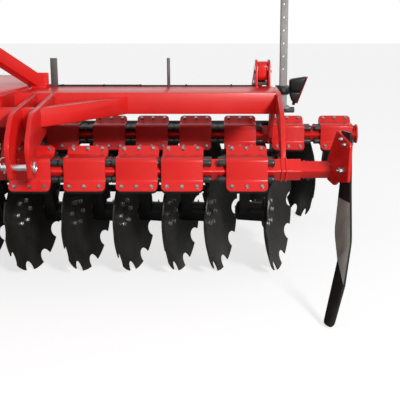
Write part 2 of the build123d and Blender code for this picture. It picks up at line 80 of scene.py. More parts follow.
def facesOf(piece, test):
    # edit mode with the faces selected whose centre and normal pass the test
    activate(piece)
    bpy.ops.object.mode_set(mode="EDIT")
    bpy.ops.mesh.select_mode(type="FACE")
    bpy.ops.mesh.select_all(action="DESELECT")
    bpy.ops.object.mode_set(mode="OBJECT")
    for face in piece.data.polygons:
        face.select = bool(test(face.center, face.normal))
    bpy.ops.object.mode_set(mode="EDIT")


def edgesOf(piece, test):
    # edit mode with the edges selected whose two ends pass the test
    activate(piece)
    bpy.ops.object.mode_set(mode="EDIT")
    bpy.ops.mesh.select_mode(type="EDGE")
    bpy.ops.mesh.select_all(action="DESELECT")
    bpy.ops.object.mode_set(mode="OBJECT")
    points = [v.co for v in piece.data.vertices]
    for edge in piece.data.edges:
        a, b = (points[i] for i in edge.vertices)
        edge.select = bool(test(a, b))
    bpy.ops.object.mode_set(mode="EDIT")


def finishEdit():
    bpy.ops.object.mode_set(mode="OBJECT")


def named(name):
    piece = bpy.context.object
    piece.name = name
    piece.data.name = name
    return piece


def cylinder(name, radius, depth, spot=(0, 0, 0), sides=24):
    deselect()
    bpy.ops.mesh.primitive_cylinder_add(vertices=sides, radius=radius, depth=depth, location=spot)
    piece = named(name)
    bpy.ops.object.transform_apply(location=True, rotation=True, scale=True)
    return piece


def slab(name, low, high):
    deselect()
    low, high = Vector(low), Vector(high)
    bpy.ops.mesh.primitive_cube_add(size=1, location=(low + high) / 2, scale=high - low)
    piece = named(name)
    bpy.ops.object.transform_apply(location=True, rotation=True, scale=True)
    return piece


def bevelled(piece, width, segments=2, limit=30):
    activate(piece)
    soft = piece.modifiers.new("edge", "BEVEL")
    soft.width = width
    soft.segments = segments
    soft.limit_method = "ANGLE"
    soft.angle_limit = math.radians(limit)
    bpy.ops.object.modifier_apply(modifier=soft.name)
    return piece


def smooth(piece, angle=35):
    activate(piece)
    bpy.ops.object.shade_smooth_by_angle(angle=math.radians(angle))
    return piece


def outwards(piece):
    activate(piece)
    bpy.ops.object.mode_set(mode="EDIT")
    bpy.ops.mesh.select_all(action="SELECT")
    bpy.ops.mesh.remove_doubles(threshold=1e-5)
    bpy.ops.mesh.normals_make_consistent(inside=False)
    finishEdit()
    return piece


def joined(name, parts):
    activate(parts[0])
    for part in parts:
        part.select_set(True)
    bpy.ops.object.join()
    return named(name)


def cutBy(piece, tool):
    activate(piece)
    cut = piece.modifiers.new("cut", "BOOLEAN")
    cut.operation = "DIFFERENCE"
    cut.solver = "EXACT"
    cut.object = tool
    bpy.ops.object.modifier_apply(modifier=cut.name)
    bpy.data.objects.remove(tool)
    return piece


def copied(master, name, place):
    piece = master.copy()
    piece.data = master.data.copy()
    piece.name = name
    piece.data.transform(place)
    bpy.context.scene.collection.objects.link(piece)
    return piece


def copies(master, name, places):
    # the same shape at many places, as one piece
    return joined(name, [copied(master, f"{name}_{i}", p) for i, p in enumerate(places)])


def arrayed(piece, count, step):
    activate(piece)
    row = piece.modifiers.new("row", "ARRAY")
    row.use_relative_offset = False
    row.use_constant_offset = True
    row.constant_offset_displace = step
    row.count = count
    bpy.ops.object.modifier_apply(modifier=row.name)
    return piece


def bar(name, start, end, radius, sides=16):
    # a round bar between two points
    run = end - start
    piece = cylinder(name, radius, run.length, (0, 0, run.length / 2), sides)
    piece.data.transform(facing(start, run))
    return piece


def mirrorX(piece):
    # the same shape on the other side of the machine, with its faces turned out again
    other = copied(piece, f"{piece.name}_left", Matrix.Scale(-1, 4, (1, 0, 0)))
    activate(other)
    bpy.ops.object.mode_set(mode="EDIT")
    bpy.ops.mesh.select_all(action="SELECT")
    bpy.ops.mesh.flip_normals()
    finishEdit()
    return other


def discard(piece):
    bpy.data.objects.remove(piece)


def facing(spot, direction, turn=0.0):
    # a place whose Z looks along a direction
    turned = Vector(direction).to_track_quat("Z", "Y").to_matrix().to_4x4()
    return Matrix.Translation(Vector(spot)) @ turned @ Matrix.Rotation(math.radians(turn), 4, "Z")


def done(piece, body, material):
    piece.data.materials.clear()
    piece.data.materials.append(material)
    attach(piece, body)
    return piece


def donePair(right, body, material):
    # a piece of the right side and its mirror image on the left, on one body
    left = mirrorX(right)
    left.name = right.name.replace("right", "left")
    for piece in (right, left):
        done(piece, body, material)


def plateOf(name, corners, pull):
    # a plate from its outline: one face, drawn out along a direction
    deselect()
    bpy.ops.mesh.primitive_circle_add(vertices=len(corners), radius=1, fill_type="NGON")
    piece = named(name)
    for vertex, corner in zip(piece.data.vertices, corners):
        vertex.co = corner
    activate(piece)
    bpy.ops.object.mode_set(mode="EDIT")
    bpy.ops.mesh.select_all(action="SELECT")
    bpy.ops.mesh.extrude_region_move(TRANSFORM_OT_translate={"value": pull})
    bpy.ops.mesh.select_all(action="SELECT")
    bpy.ops.mesh.normals_make_consistent(inside=False)
    finishEdit()
    return piece


# Materials

def groupOf(name, inputs, outputs):
    group = bpy.data.node_groups.new(name, "ShaderNodeTree")
    for label, kind, value in inputs:
        socket = group.interface.new_socket(name=label, in_out="INPUT", socket_type=kind)
        socket.default_value = value
    for label, kind in outputs:
        group.interface.new_socket(name=label, in_out="OUTPUT", socket_type=kind)
    enter = group.nodes.new("NodeGroupInput")
    leave = group.nodes.new("NodeGroupOutput")
    return group, enter, leave


def addNode(tree, kind, **values):
    node = tree.nodes.new(kind)
    for key, value in values.items():
        if key in node.inputs:
            node.inputs[key].default_value = value
        else:
            setattr(node, key, value)
    return node


def buildHazeGroup():
    # slow changes of tone, a film of dust in patches, and the small waves of a sprayed or cast surface
    group, enter, leave = groupOf("surfaceHaze", [
        ("Scale", "NodeSocketFloat", 3.0),
        ("Dust", "NodeSocketFloat", 0.1),
        ("Grain", "NodeSocketFloat", 400.0),
    ], [("Tone", "NodeSocketFloat"), ("Film", "NodeSocketFloat"), ("Height", "NodeSocketFloat")])
    link = group.links.new
    where = group.nodes.new("ShaderNodeTexCoord")
    broad = addNode(group, "ShaderNodeTexNoise", Detail=4.0, Roughness=0.6)
    link(where.outputs["Object"], broad.inputs["Vector"])
    link(enter.outputs["Scale"], broad.inputs["Scale"])
    tone = addNode(group, "ShaderNodeMapRange")
    tone.inputs["From Min"].default_value = 0.3
    tone.inputs["From Max"].default_value = 0.7
    link(broad.outputs["Fac"], tone.inputs["Value"])
    patch = addNode(group, "ShaderNodeTexNoise", Scale=14.0, Detail=6.0, Roughness=0.7)
    link(where.outputs["Object"], patch.inputs["Vector"])
    spread = addNode(group, "ShaderNodeMapRange")
    spread.inputs["From Min"].default_value = 0.42
    spread.inputs["From Max"].default_value = 0.75
    link(patch.outputs["Fac"], spread.inputs["Value"])
    film = addNode(group, "ShaderNodeMath", operation="MULTIPLY")
    link(spread.outputs["Result"], film.inputs[0])
    link(enter.outputs["Dust"], film.inputs[1])
    fine = addNode(group, "ShaderNodeTexNoise", Detail=3.0, Roughness=0.5)
    link(where.outputs["Object"], fine.inputs["Vector"])
    link(enter.outputs["Grain"], fine.inputs["Scale"])
    link(tone.outputs["Result"], leave.inputs["Tone"])
    link(film.outputs[0], leave.inputs["Film"])
    link(fine.outputs["Fac"], leave.inputs["Height"])
    return group


hazeGroup = buildHazeGroup()
dustColor = (0.42, 0.36, 0.29, 1)


def finishOf(name, low, high, rough, metal=0.0, coat=0.0, dust=0.1, scale=3.0, grain=400.0, bump=0.05,
             gloss=0.3):
    # a finish that wanders between two colours and two roughnesses
    material = bpy.data.materials.new(name)
    material.use_nodes = True
    tree = material.node_tree
    link = tree.links.new
    shader = tree.nodes["Principled BSDF"]
    haze = addNode(tree, "ShaderNodeGroup")
    haze.node_tree = hazeGroup
    haze.inputs["Scale"].default_value = scale
    haze.inputs["Dust"].default_value = dust
    haze.inputs["Grain"].default_value = grain
    blend = addNode(tree, "ShaderNodeMix", data_type="RGBA")
    blend.inputs[6].default_value = (*low, 1)
    blend.inputs[7].default_value = (*high, 1)
    link(haze.outputs["Tone"], blend.inputs[0])
    dusty = addNode(tree, "ShaderNodeMix", data_type="RGBA")
    dusty.inputs[7].default_value = dustColor
    link(haze.outputs["Film"], dusty.inputs[0])
    link(blend.outputs[2], dusty.inputs[6])
    link(dusty.outputs[2], shader.inputs["Base Color"])
    rougher = addNode(tree, "ShaderNodeMapRange")
    rougher.inputs["To Min"].default_value = rough[0]
    rougher.inputs["To Max"].default_value = rough[1]
    link(haze.outputs["Tone"], rougher.inputs["Value"])
    link(rougher.outputs["Result"], shader.inputs["Roughness"])
    shader.inputs["Metallic"].default_value = metal
    shader.inputs["Specular IOR Level"].default_value = gloss
    shader.inputs["Coat Weight"].default_value = coat
    shader.inputs["Coat Roughness"].default_value = 0.12
    waves = addNode(tree, "ShaderNodeBump", Strength=bump, Distance=0.0006)
    link(haze.outputs["Height"], waves.inputs["Height"])
    link(waves.outputs["Normal"], shader.inputs["Normal"])
    return material


redPaint = finishOf("redPaint", (0.76, 0.014, 0.012), (0.84, 0.020, 0.016), (0.3, 0.42),
                    coat=0.15, dust=0.02)
discPaint = finishOf("discPaint", (0.014, 0.014, 0.012), (0.032, 0.031, 0.027), (0.24, 0.4),
                     dust=0.03, scale=6.0, grain=700.0, gloss=0.16)
armPaint = finishOf("armPaint", (0.008, 0.008, 0.009), (0.016, 0.015, 0.015), (0.34, 0.5),
                    dust=0.04, grain=900.0, bump=0.25, gloss=0.2)
rubberBlack = finishOf("rubberBlack", (0.012, 0.012, 0.013), (0.024, 0.024, 0.025), (0.22, 0.36),
                       dust=0.04, gloss=0.6)
zincBright = finishOf("zincBright", (0.62, 0.62, 0.63), (0.74, 0.74, 0.75), (0.22, 0.36),
                      metal=1.0, dust=0.02, scale=20.0)
bladePaint = finishOf("bladePaint", (0.006, 0.006, 0.006), (0.014, 0.013, 0.012), (0.28, 0.45),
                      dust=0.04, gloss=0.2)
greyZinc = finishOf("greyZinc", (0.24, 0.24, 0.235), (0.36, 0.36, 0.35), (0.4, 0.55),
                    metal=0.3, dust=0.05, scale=12.0)
restGrey = finishOf("restGrey", (0.09, 0.09, 0.088), (0.16, 0.16, 0.155), (0.4, 0.55),
                    metal=0.3, dust=0.08, scale=12.0)
blackPlastic = finishOf("blackPlastic", (0.004, 0.004, 0.005), (0.010, 0.010, 0.011), (0.3, 0.5),
                        dust=0.03, gloss=0.3)
boltZinc = finishOf("boltZinc", (0.17, 0.17, 0.18), (0.42, 0.42, 0.43), (0.28, 0.45),
                    metal=1.0, dust=0.05, scale=45.0)
# a grey that paints sunlight on a band of the black blade
bladeSunlitGrey = finishOf("bladeSunlitGrey", (0.31, 0.295, 0.265), (0.47, 0.445, 0.40), (0.42, 0.6),
                      metal=0.2, dust=0.2, scale=9.0, grain=300.0, bump=0.12)
weldRed = finishOf("weldRed", (0.70, 0.014, 0.012), (0.80, 0.022, 0.018), (0.34, 0.5),
                   coat=0.15, dust=0.03)
rubberGrey = finishOf("rubberGrey", (0.05, 0.05, 0.052), (0.08, 0.08, 0.084), (0.45, 0.6), dust=0.06)
lampAmber = finishOf("lampAmber", (0.75, 0.20, 0.015), (0.82, 0.25, 0.02), (0.1, 0.16), coat=0.6, dust=0.0)
lampRed = finishOf("lampRed", (0.5, 0.012, 0.010), (0.6, 0.02, 0.014), (0.1, 0.16), coat=0.6, dust=0.0)
bySlot = {
    "frame_red": redPaint,
    "disc_black": discPaint,
    "arm_black": armPaint,
    "rubber": rubberBlack,
    "zinc": zincBright,
    "blade_black": bladePaint,
    "stand_grey": greyZinc,
    "collar_black": armPaint,
    "lamp_black": blackPlastic,
    "conduit_black": blackPlastic,
    "roller_black": armPaint,
}
for part in frame["record"]["subparts"]:
    node = frame["nodes"][part["node"]]
    node.data.materials.clear()
    node.data.materials.append(bySlot[part["material_slot"]])
print("materials done")


# Cut plates, tubes and castings, with the edges that a saw, a torch or a mould leaves

edges = {
    "main_beam": 2.5,
    "headstock_base": 1.2,
    "headstock_crossbar": 3.0,
    "headstock_tower": 1.2,
    "tower_stays": 2.5,
    "hitch_plates": 1.2,
    "hitch_braces": 3.0,
    "inner_hangers": 1.2,
    "front_beam": 3.0,
    "rear_beam": 3.0,
    "front_clamp_covers": 1.2,
    "rear_clamp_covers": 1.2,
    "front_arms": 3.0,
    "rear_arms": 3.0,
    "deflector_slider_right": 1.5,
    "deflector_slider_left": 1.5,
    "deflector_blade_right": 1.2,
    "deflector_blade_left": 1.2,
    "roller_posts": 1.2,
    "roller_frame": 2.5,
    "stand_collars": 1.0,
    "hose_rests": 0.8,
}


def softened(node, width):
    # a merged copy of the CAD node with its sharp edges rounded
    source = frame["nodes"][node]
    piece = source.copy()
    piece.data = source.data.copy()
    piece.name = f"{node}_finished"
    bpy.context.scene.collection.objects.link(piece)
    piece.parent = None
    piece.hide_render = False
    activate(piece)
    bpy.ops.object.mode_set(mode="EDIT")
    bpy.ops.mesh.select_all(action="SELECT")
    bpy.ops.mesh.remove_doubles(threshold=1e-5)
    bpy.ops.mesh.dissolve_limited(angle_limit=math.radians(0.5))
    finishEdit()
    bevelled(piece, width * mm, 2, 38)
    smooth(piece, 40)
    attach(piece, bodyOf.get(node, "root"))
    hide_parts(node)
    return piece


finished = {}
for part in frame["record"]["subparts"]:
    node = part["node"]
    if node in edges:
        finished[node] = softened(node, edges[node])
finished["hose_rests"].data.materials[0] = restGrey
print("edges done")


# Discs

disc = {
    "radius": 0.280,
    "thickness": 0.006,
    "depth": 0.065,
    "flat": 0.075,
    "bites": 10,
    "biteRadius": 0.040,
    "biteCentre": 0.275,
    "rings": 8,
    "sides": 100,
    "edge": 0.0008,
    "turns": (4, -7, 2, 8, -3, 6, -8, 1, 5, -5, 7, -2, -6, 3),
}
hub = {
    "endRadius": 0.022,
    "endHeight": 0.005,
    "flangeRadius": 0.075,
    "flangeHeight": 0.014,
    "shaftRadius": 0.020,
    "shaftLength": 0.040,
    "bolts": 6,
    "boltCircle": 0.0575,
    "boltAcross": 0.018,
    "boltHeight": 0.009,
}
washerHeight = 0.0025


def makeDisc():
    # a flat round face whose rim is drawn out ring by ring along the curve of the dish
    rise = disc["depth"] - disc["thickness"]
    reach, flat = disc["radius"], disc["flat"]
    ballRadius = math.hypot(reach, (reach ** 2 - flat ** 2 - rise ** 2) / (2 * rise))
    base = math.sqrt(ballRadius ** 2 - flat ** 2)
    deselect()
    bpy.ops.mesh.primitive_circle_add(vertices=disc["sides"], radius=flat, fill_type="NGON")
    piece = named("disc")
    bpy.ops.object.mode_set(mode="EDIT")
    bpy.ops.mesh.select_mode(type="EDGE")
    bpy.ops.mesh.select_all(action="SELECT")
    bpy.ops.mesh.region_to_loop()
    radius, height = flat, 0.0
    for i in range(disc["rings"]):
        nextRadius = flat + (reach - flat) * (i + 1) / disc["rings"]
        nextHeight = base - math.sqrt(ballRadius ** 2 - nextRadius ** 2)
        bpy.ops.mesh.extrude_edges_move(TRANSFORM_OT_translate={"value": (0, 0, nextHeight - height)})
        ratio = nextRadius / radius
        bpy.ops.transform.resize(value=(ratio, ratio, 1), center_override=(0, 0, nextHeight))
        radius, height = nextRadius, nextHeight
    finishEdit()
    outwards(piece)
    plate = piece.modifiers.new("plate", "SOLIDIFY")
    plate.thickness = disc["thickness"]
    plate.offset = 1 if piece.data.polygons[0].normal.z > 0 else -1
    activate(piece)
    bpy.ops.object.modifier_apply(modifier=plate.name)
    pitch = 2 * math.pi / disc["bites"]
    tools = []
    for i in range(disc["bites"]):
        angle = (i + 0.5) * pitch
        spot = (disc["biteCentre"] * math.cos(angle), disc["biteCentre"] * math.sin(angle), 0.03)
        tools.append(cylinder(f"bite{i}", disc["biteRadius"], 0.2, spot, 32))
    cutBy(piece, joined("bites", tools))
    return bevelled(piece, disc["edge"], 1, 50)


def makeHub():
    # the axle's end in the hollow, the flange behind the disc and the axle that turns in the arm's housing
    height = hub["endHeight"]
    end = cylinder("hubEnd", hub["endRadius"], height, (0, 0, disc["thickness"] - 0.001 + height / 2), 28)
    facesOf(end, lambda c, n: n.z > 0.9)
    bpy.ops.mesh.inset(thickness=0.007)
    bpy.ops.mesh.extrude_region_move(TRANSFORM_OT_translate={"value": (0, 0, -0.003)})
    finishEdit()
    bevelled(end, 0.0008, 1)
    height = hub["flangeHeight"]
    flange = cylinder("hubFlange", hub["flangeRadius"], height, (0, 0, -height / 2), 48)
    facesOf(flange, lambda c, n: n.z < -0.9)
    bpy.ops.mesh.inset(thickness=0.022)
    bpy.ops.mesh.extrude_region_move(TRANSFORM_OT_translate={"value": (0, 0, -0.002)})
    finishEdit()
    bevelled(flange, 0.0015)
    length = hub["shaftLength"]
    shaft = cylinder("hubShaft", hub["shaftRadius"], length, (0, 0, -height - 0.002 - length / 2), 24)
    return joined("hub", [end, flange, shaft])


def makeBolt(name, across, height, washer):
    # a hexagon head with its chamfer, on a washer
    head = cylinder(name, across / math.sqrt(3), height, (0, 0, height / 2 + washer), 6)
    facesOf(head, lambda c, n: n.z > 0.9)
    bpy.ops.mesh.bevel(offset=across * 0.07, segments=1, affect="EDGES")
    finishEdit()
    ring = cylinder(f"{name}Washer", across * 0.62, washer, (0, 0, washer / 2), 20)
    return joined(name, [head, ring])


def dressDiscs():
    plate, axle = makeDisc(), makeHub()
    bolt = makeBolt("discBolt", hub["boltAcross"], hub["boltHeight"], washerHeight)
    angles = [2 * math.pi * (i + 0.5) / hub["bolts"] for i in range(hub["bolts"])]
    spots = [(hub["boltCircle"] * math.cos(a), hub["boltCircle"] * math.sin(a)) for a in angles]
    heads = copies(bolt, "discBolts", [Matrix.Translation((x, y, disc["thickness"])) for x, y in spots])
    discard(bolt)
    for i, (name, joint) in enumerate(sorted(spins.items())):
        axis = Vector(joint["axis"])
        heading = Matrix.Rotation(math.atan2(axis.y, axis.x), 4, "Z")
        place = Matrix.Translation(joint["pos_m"]) @ heading @ Matrix.Rotation(math.pi / 2, 4, "Y")
        if name.startswith("rear"):
            place = place @ Matrix.Rotation(math.pi, 4, "Z")
        turn = disc["turns"][i % len(disc["turns"])]
        place = place @ Matrix.Rotation(math.radians(turn), 4, "Z")
        dish = smooth(copied(plate, f"{name}_dish", place))
        done(dish, name, discPaint)
        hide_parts(name)
        done(smooth(copied(axle, f"{name}_hub", place)), name, discPaint)
        done(copied(heads, f"{name}_bolts", place), name, zincBright)
    for master in (plate, axle, heads):
        discard(master)


dressDiscs()
print("discs done")


# Clamps

clamp = {
    "boltPitch": 0.064,
    "boltReach": 0.0705,
    "boltAcross": 0.0145,
    "boltHeight": 0.007,
    "thread": 0.006,
    "wallOut": 0.014,
    "wallBack": 0.008,
    "offset": 0.112,
}


def clampSpots(row):
    # where each clamp's middle is on the axis of its beam
    axis = middle(f"{row}_beam")
    side = 1 if row == "front" else -1
    xs = [j["pos_m"][0] - side * clamp["offset"] for n, j in sorted(spins.items()) if n.startswith(row)]
    return [Vector((x, axis.y, axis.z)) for x in xs]


def makeNut(name, across, height, thread):
    # a nut on its washer, with the end of its bolt
    nut = makeBolt(name, across, height, washerHeight)
    stub = cylinder(f"{name}Stub", across * 0.3, thread, (0, 0, height + washerHeight + thread / 2), 12)
    return joined(name, [nut, bevelled(stub, across * 0.06, 1)])


def dressClamps():
    bolt = makeBolt("clampBolt", clamp["boltAcross"], clamp["boltHeight"], washerHeight)
    nut = makeNut("clampNut", clamp["boltAcross"], clamp["boltHeight"], clamp["thread"])
    reach = clamp["boltReach"]
    out, back = clamp["wallOut"] * math.sqrt(0.5), clamp["wallBack"] * math.sqrt(0.5)
    for row in ("front", "rear"):
        heads, ends = [], []
        for spot in clampSpots(row):
            for k in (-1, 0, 1):
                for end in (1, -1):
                    turn = 11 * k + 17 * end
                    bore = spot + Vector((k * clamp["boltPitch"], end * reach, end * reach))
                    heads.append(facing(bore + Vector((0, -out, out)), (0, -1, 1), turn))
                    ends.append(facing(bore + Vector((0, back, -back)), (0, 1, -1), turn))
        done(smooth(copies(bolt, f"{row}_clamp_bolts", heads)), "root", boltZinc)
        done(smooth(copies(nut, f"{row}_clamp_nuts", ends)), "root", boltZinc)
    discard(bolt)
    discard(nut)


rods = {
    "radius": 0.0155,
    "tip": 0.012,
    "sides": 20,
}


def makeRodEnd():
    # the rounded end of a rubber rod, a little hollow in the middle
    piece = cylinder("rodEnd", rods["radius"], rods["tip"], (0, 0, -rods["tip"] / 2), rods["sides"])
    facesOf(piece, lambda c, n: n.z > 0.9)
    bpy.ops.mesh.bevel(offset=0.004, segments=2, affect="EDGES")
    bpy.ops.mesh.inset(thickness=0.006)
    bpy.ops.transform.translate(value=(0, 0, -0.0012))
    finishEdit()
    return smooth(piece)


def islandBoxes(node):
    # the lowest and highest corner of each loose part of a CAD node
    mesh = frame["nodes"][node].data
    boxes = {}
    parent = list(range(len(mesh.vertices)))

    def root(i):
        while parent[i] != i:
            parent[i] = parent[parent[i]]
            i = parent[i]
        return i

    seen = {}
    for i, vertex in enumerate(mesh.vertices):
        key = tuple(round(c, 5) for c in vertex.co)
        parent[i] = seen.setdefault(key, i)
    for face in mesh.polygons:
        first = root(face.vertices[0])
        for other in face.vertices[1:]:
            parent[root(other)] = first
    for i, vertex in enumerate(mesh.vertices):
        low, high = boxes.setdefault(root(i), (vertex.co.copy(), vertex.co.copy()))
        for k in range(3):
            low[k] = min(low[k], vertex.co[k])
            high[k] = max(high[k], vertex.co[k])
    return list(boxes.values())


def dressRods():
    end = makeRodEnd()
    for row in ("front", "rear"):
        parts = []
        for low, high in islandBoxes(f"{row}_rubbers"):
            spot = (low + high) / 2
            length = high.x - low.x - 2 * rods["tip"]
            shaft = cylinder("rodShaft", rods["radius"], length, (0, 0, 0), rods["sides"])
            facesOf(shaft, lambda c, n: abs(n.z) > 0.9)
            bpy.ops.mesh.delete(type="ONLY_FACE")
            finishEdit()
            shaft.data.transform(Matrix.Translation(spot) @ Matrix.Rotation(math.pi / 2, 4, "Y"))
            parts.append(smooth(shaft))
            for side, tip in ((1, high.x), (-1, low.x)):
                parts.append(copied(end, "tip", facing((tip, spot.y, spot.z), (side, 0, 0))))
        whole = outwards(joined(f"{row}_rods", parts))
        done(smooth(whole), "root", rubberBlack)
        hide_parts(f"{row}_rubbers")
    discard(end)


dressRods()
dressClamps()
print("clamps done")


# Bearings at the ends of the arms

bearing = {
    "reach": 0.1462,
    "nipple": 0.060,
    "radius": 0.047,
    "capRadius": 0.039,
    "capHeight": 0.005,
    "capBolts": 4,
    "boltCircle": 0.031,
    "boltAcross": 0.010,
    "boltHeight": 0.005,
    "washer": 0.001,
    "nippleSide": (0, 0.6, 0.8),
}


def makeBearingCap():
    # a pressed cover with a raised middle
    height = bearing["capHeight"]
    cap = cylinder("bearingCap", bearing["capRadius"], height, (0, 0, height / 2), 32)
    facesOf(cap, lambda c, n: n.z > 0.9)
    bpy.ops.mesh.inset(thickness=0.016)
    bpy.ops.mesh.extrude_region_move(TRANSFORM_OT_translate={"value": (0, 0, 0.006)})
    bpy.ops.mesh.inset(thickness=0.004)
    bpy.ops.mesh.extrude_region_move(TRANSFORM_OT_translate={"value": (0, 0, 0.001)})
    finishEdit()
    return bevelled(cap, 0.001, 2)


def makeNipple():
    foot = cylinder("nippleFoot", 0.006, 0.005, (0, 0, 0.0025), 6)
    neck = cylinder("nippleNeck", 0.003, 0.010, (0, 0, 0.010), 10)
    facesOf(neck, lambda c, n: n.z > 0.9)
    bpy.ops.mesh.bevel(offset=0.001, segments=2, affect="EDGES")
    finishEdit()
    return joined("nipple", [foot, neck])


def dressBearings():
    cap, nipple = makeBearingCap(), makeNipple()
    bolt = makeBolt("capBolt", bearing["boltAcross"], bearing["boltHeight"], bearing["washer"])
    turns = [2 * math.pi * (i + 0.5) / bearing["capBolts"] for i in range(bearing["capBolts"])]
    ring, height = bearing["boltCircle"], bearing["capHeight"]
    bolts = [Matrix.Translation((ring * math.cos(a), ring * math.sin(a), height)) for a in turns]
    upwards = Vector(bearing["nippleSide"])
    for row in ("front", "rear"):
        caps, heads, nipples = [], [], []
        for name, joint in sorted(spins.items()):
            if not name.startswith(row):
                continue
            axis, spot = Vector(joint["axis"]), Vector(joint["pos_m"])
            if axis.x * (1 if row == "front" else -1) < 0:
                axis = -axis
            back = facing(spot - axis * bearing["reach"], -axis)
            caps.append(back)
            heads += [back @ b for b in bolts]
            top = spot - axis * bearing["nipple"] + upwards * bearing["radius"]
            nipples.append(facing(top, upwards))
        done(smooth(copies(cap, f"{row}_bearing_caps", caps)), "root", armPaint)
        done(smooth(copies(bolt, f"{row}_bearing_bolts", heads)), "root", boltZinc)
        done(smooth(copies(nipple, f"{row}_grease_nipples", nipples)), "root", boltZinc)
    for master in (cap, nipple, bolt):
        discard(master)


dressBearings()
print("bearings done")


# End plates, cut like an arch, each with the peg for the stand's spare pin

endPlate = {
    "x": 1500.0,
    "thickness": 20.0,
    "span": 1050.0,  # 38 mm less than the solids' row spacing
    "outer": (
        (375, 857), (334, 848), (297, 838), (255, 827), (215, 816), (178, 805), (146, 793), (121, 779),
        (103, 762), (89, 743), (68, 714), (47, 684), (28, 655), (14, 625), (3, 595), (-8, 570), (-20, 556),
        (-14, 549), (-4, 547),
    ),
    "inner": (
        (50, 547), (59, 550), (68, 558), (92, 583), (118, 608), (148, 634), (185, 658), (250, 690),
        (310, 721), (340, 734), (370, 743), (400, 745),
    ),
    "edge": 1.2,
    "pegStart": (1518, 800, 727),
    "pegEnd": (1548, 800, 727),
    "pegRadius": 13.0,
}


def dressEndPlates():
    half = endPlate["outer"] + endPlate["inner"]
    other = [(endPlate["span"] - y, z) for y, z in reversed(half)]
    corners = [at(endPlate["x"], y, z) for y, z in (*half, *other)]
    plate = plateOf("end_plate_right", corners, (endPlate["thickness"] * mm, 0, 0))
    bevelled(plate, endPlate["edge"] * mm, 2, 60)
    peg = bar("peg", at(*endPlate["pegStart"]), at(*endPlate["pegEnd"]), endPlate["pegRadius"] * mm, 24)
    right = smooth(joined("end_plate_right", [plate, peg]), 40)
    donePair(right, "root", redPaint)
    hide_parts("end_plates")


dressEndPlates()
print("end plates done")


# Deflectors: bolts through bracket and blade, and a band of painted sunlight on the blade's face

deflector = {
    "spots": ((132, 144, 0.013), (164, 126, 0.013), (142, 14, 0.022)),
    "turn": 17.0,
    "origin": (1716, 0, 568),
    "plate": 12.0,
    "blade": 10.0,
    # the band of painted sunlight on the blade: its top where the bracket's shadow ended, its bottom, and the face
    # it lies on
    "sunPatchTop": 0.462,
    "sunPatchBottom": 0.20,
    "sunPatchFacing": (-0.921, -0.281, 0.271),
}


def dressDeflectors():
    turn = math.radians(deflector["turn"])
    ahead = Vector((math.sin(turn), -math.cos(turn), 0))
    inward = Vector((-math.cos(turn), -math.sin(turn), 0))
    start = at(*deflector["origin"])
    heads = []
    for along, up, across in deflector["spots"]:
        spot = start + ahead * along * mm + Vector((0, 0, up * mm))
        nut = makeNut("bracketNut", across, across * 0.75, across * 0.45)
        nut.data.transform(facing(spot + inward * deflector["plate"] * mm, inward, 12))
        head = makeBolt("bladeBolt", across, across * 0.55, 0.002)
        head.data.transform(facing(spot - inward * deflector["blade"] * mm, -inward, 24))
        heads += [nut, head]
    right = smooth(joined("deflector_bolts_right", heads))
    left = smooth(mirrorX(right))
    left.data.transform(Matrix.Translation((0, middle("rear_beam").y - front, 0)))
    for side, piece in (("right", right), ("left", left)):
        piece.name = f"deflector_bolts_{side}"
        done(piece, bodyOf[f"deflector_slider_{side}"], boltZinc)
        blade = finished[f"deflector_blade_{side}"]
        activate(blade)
        bpy.ops.object.mode_set(mode="EDIT")
        bpy.ops.mesh.select_all(action="SELECT")
        bpy.ops.mesh.bisect(plane_co=(0, 0, deflector["sunPatchTop"]), plane_no=(0, 0, 1))
        finishEdit()
        # painted sunlight: one face of the blade turns grey from the cut at the end of the bracket's shadow down
        # to near the crease
        blade.data.materials.append(bladeSunlitGrey)
        x, y, z = deflector["sunPatchFacing"]
        sunlitFace = Vector((x if side == "right" else -x, y, z))
        low, high = deflector["sunPatchBottom"], deflector["sunPatchTop"]
        for face in blade.data.polygons:
            if face.normal.dot(sunlitFace) > 0.98 and low < face.center.z < high:
                face.material_index = 1


dressDeflectors()
print("deflectors done")


# Parking stands with their holes, the collars' pins and knobs, and the sleeve on the end plate's peg

stand = {
    "x": 1558.0,
    "y": 760.0,
    "side": 38.0,
    "wall": 3.0,
    "foot": 741.0,
    "footPlate": 12.0,
    "footHalf": 45.0,
    "footReach": 32.0,
    "top": 1560.0,
    "hollow": 300.0,
    "holes": 9,
    "firstHole": 940.0,
    "holePitch": 65.0,
    "holeRadius": 6.0,
    "sleeve": ((1545, 800, 727), (1622, 800, 727), 15.5),
    "knob": ((1558, 712, 836), (1558, 735, 836), 11.0),
    "pin": ((1558, 733, 836), (1558, 800, 836), 5.5),
}


